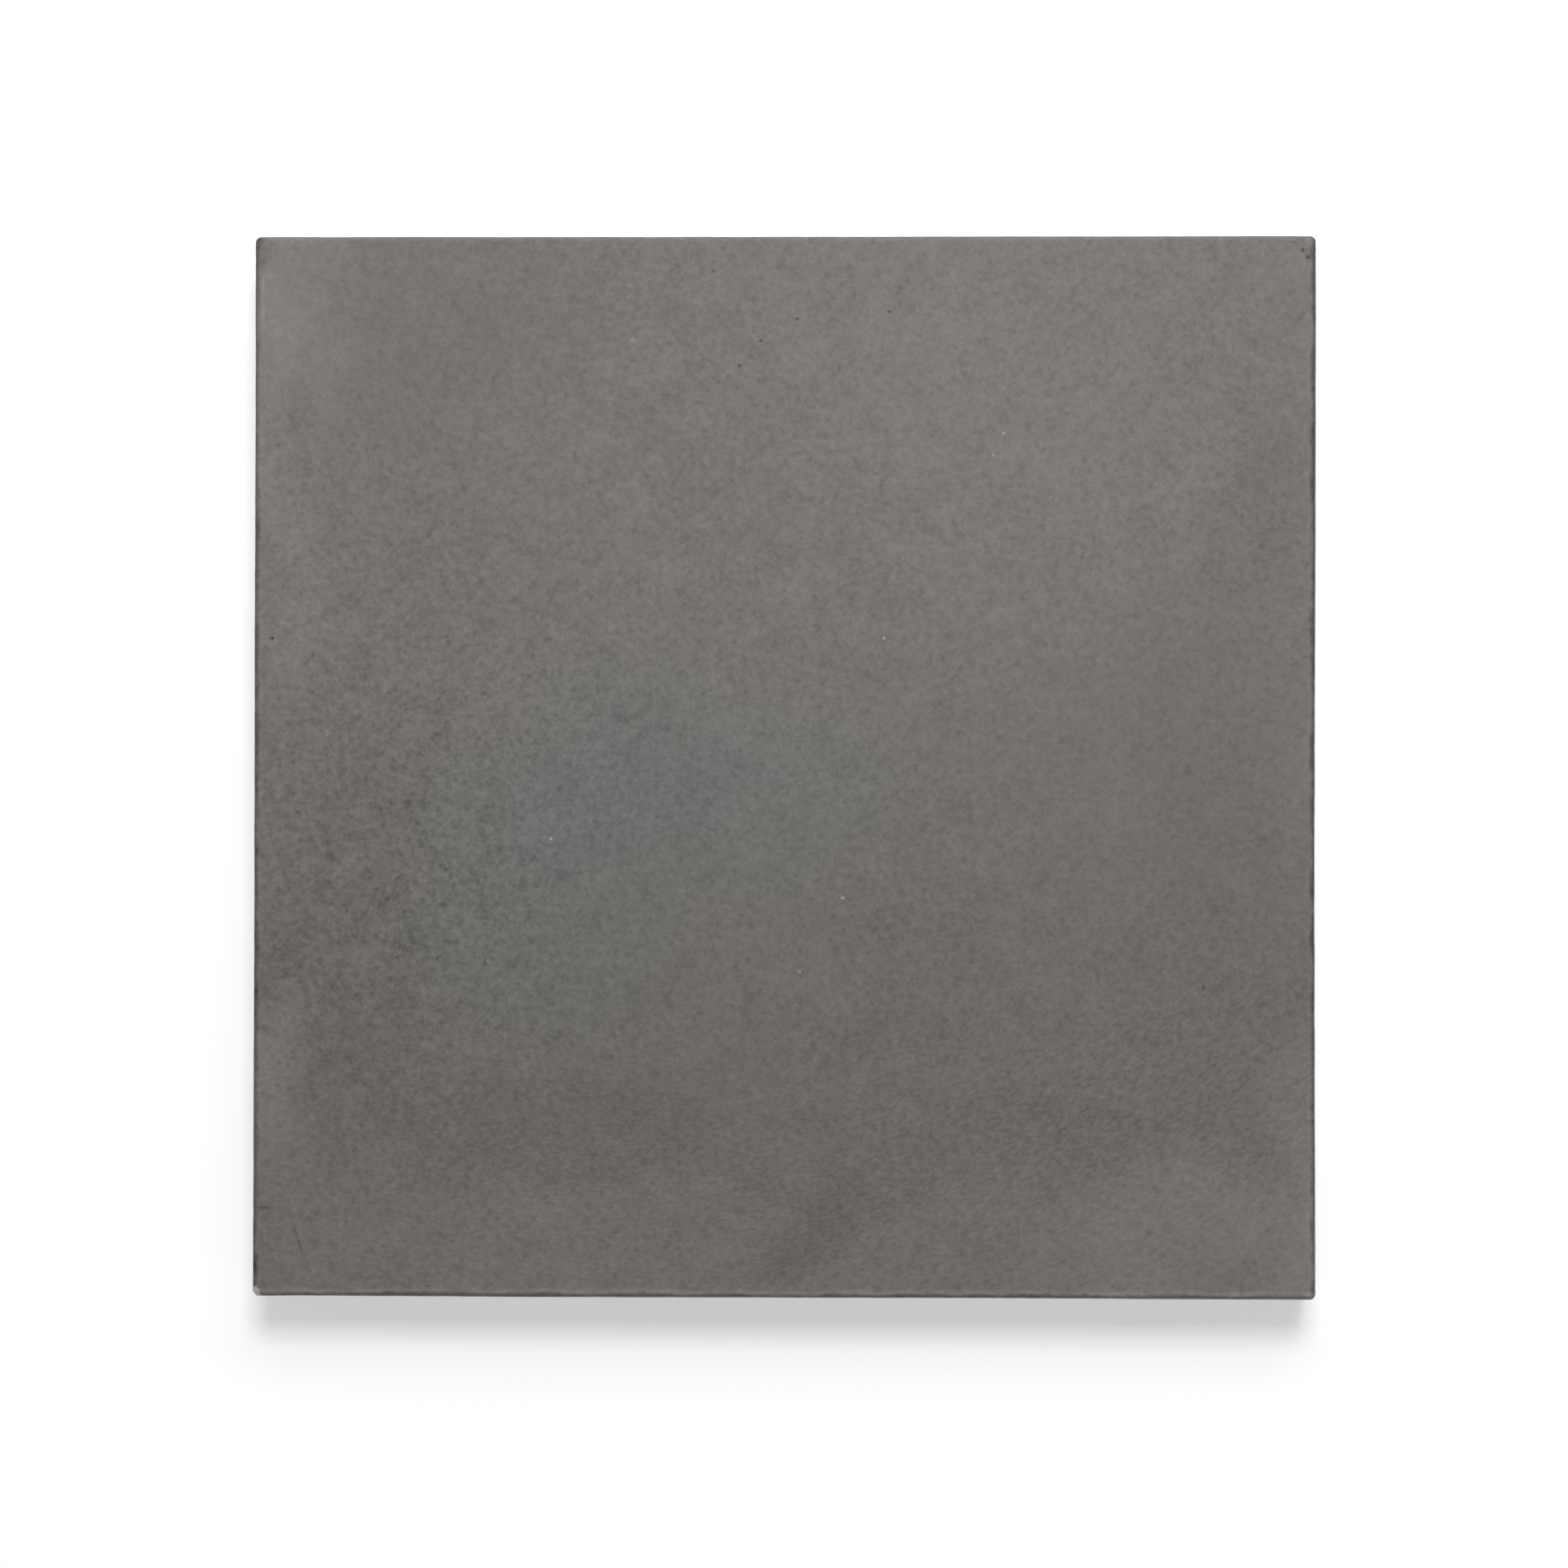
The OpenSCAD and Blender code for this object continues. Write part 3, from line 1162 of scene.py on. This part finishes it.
def floor_material():
    """White floor that keeps the shadow and goes over to plain white away from the slab."""
    material = bpy.data.materials.new("studio_floor")
    material.use_nodes = True
    g = Graph(material.node_tree)
    place = g.add("ShaderNodeTexCoord").outputs["Object"]
    lit = g.add("ShaderNodeBsdfDiffuse", {"Color": FLOOR_COLOUR})
    shown = g.add("ShaderNodeBsdfDiffuse", {"Color": FLOOR_SEEN_COLOUR})
    glow = g.add("ShaderNodeEmission", {"Color": WHITE, "Strength": FLOOR_SEEN_GLOW})
    near = g.add("ShaderNodeAddShader", {0: shown.outputs[0], 1: glow.outputs[0]})
    far = g.add("ShaderNodeEmission", {"Color": WHITE, "Strength": 1.0})
    fade = g.step(g.length(place), FLOOR_FADE_FROM, FLOOR_FADE_TO)
    seen = g.add("ShaderNodeMixShader", {0: fade, 1: near.outputs[0], 2: far.outputs[0]})
    surface = g.add("ShaderNodeMixShader", {0: seen_directly(g), 1: lit.outputs[0], 2: seen.outputs[0]})
    g.add("ShaderNodeOutputMaterial", {"Surface": surface.outputs[0]})
    return material


def make_floor():
    mesh = bpy.data.meshes.new("studio_floor")
    r = FLOOR_SIZE / 2
    mesh.from_pydata([(-r, -r, 0), (r, -r, 0), (r, r, 0), (-r, r, 0)], [], [(0, 1, 2, 3)])
    mesh.materials.append(floor_material())
    floor = bpy.data.objects.new("studio_floor", mesh)
    floor.location.z = -FLOOR_DROP
    bpy.context.scene.collection.objects.link(floor)


def add_lamp(name, place, aim, width, depth, watts):
    data = bpy.data.lights.new(name, "AREA")
    data.shape = "RECTANGLE"
    data.size = width
    data.size_y = depth
    data.energy = watts
    lamp = bpy.data.objects.new(name, data)
    lamp.location = place
    lamp.rotation_euler = (Vector(place) - aim).to_track_quat("Z", "Y").to_euler()
    bpy.context.scene.collection.objects.link(lamp)


def make_light():
    """The two lamps and the white surround."""
    up, bearing = math.radians(KEY_ELEVATION), math.radians(KEY_AZIMUTH)
    toward = Vector((math.sin(bearing) * math.cos(up), math.cos(bearing) * math.cos(up), math.sin(up)))
    middle = Vector((0, 0, 0))
    add_lamp("key_lamp", toward * KEY_DISTANCE, middle, KEY_SIZE, KEY_SIZE, KEY_WATTS)
    add_lamp("back_lamp", BACK_PLACE, middle, BACK_WIDTH, BACK_DEPTH, BACK_WATTS)

    world = bpy.data.worlds.new("white_surround")
    world.use_nodes = True
    g = Graph(world.node_tree)
    height = g.parts(g.add("ShaderNodeTexCoord").outputs["Generated"])["Z"]
    level = g.step(height, 0.0, FILL_HEIGHT, FILL_AT_HORIZON, FILL_OVERHEAD)
    fill = g.add("ShaderNodeBackground", {"Color": WHITE, "Strength": level})
    white = g.add("ShaderNodeBackground", {"Color": WHITE, "Strength": 1.0})
    mixed = g.add("ShaderNodeMixShader", {0: seen_directly(g), 1: fill.outputs[0], 2: white.outputs[0]})
    g.add("ShaderNodeOutputWorld", {"Surface": mixed.outputs[0]})
    world.cycles.sampling_method = "NONE"
    bpy.context.scene.world = world


# Camera of the photo: almost straight above, a little to the right and in front, with its tilt in degrees
CAMERA_PLACE = (0.0306, -0.0224, 1.65)
CAMERA_TILT = (0.566, 1.083, 0.092)
CAMERA_LENS = 98.34
CAMERA_SENSOR = 36.0


def make_camera():
    data = bpy.data.cameras.new("photo_camera")
    data.lens = CAMERA_LENS
    data.sensor_width = CAMERA_SENSOR
    camera = bpy.data.objects.new("photo_camera", data)
    camera.location = CAMERA_PLACE
    camera.rotation_euler = [math.radians(a) for a in CAMERA_TILT]
    bpy.context.scene.collection.objects.link(camera)
    bpy.context.scene.camera = camera


make_camera()
slab = make_slab()
slab.data.materials.append(concrete_material())
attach(slab, "root")
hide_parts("slab")
make_floor()
make_light()
bpy.context.scene.view_settings.view_transform = "Standard"
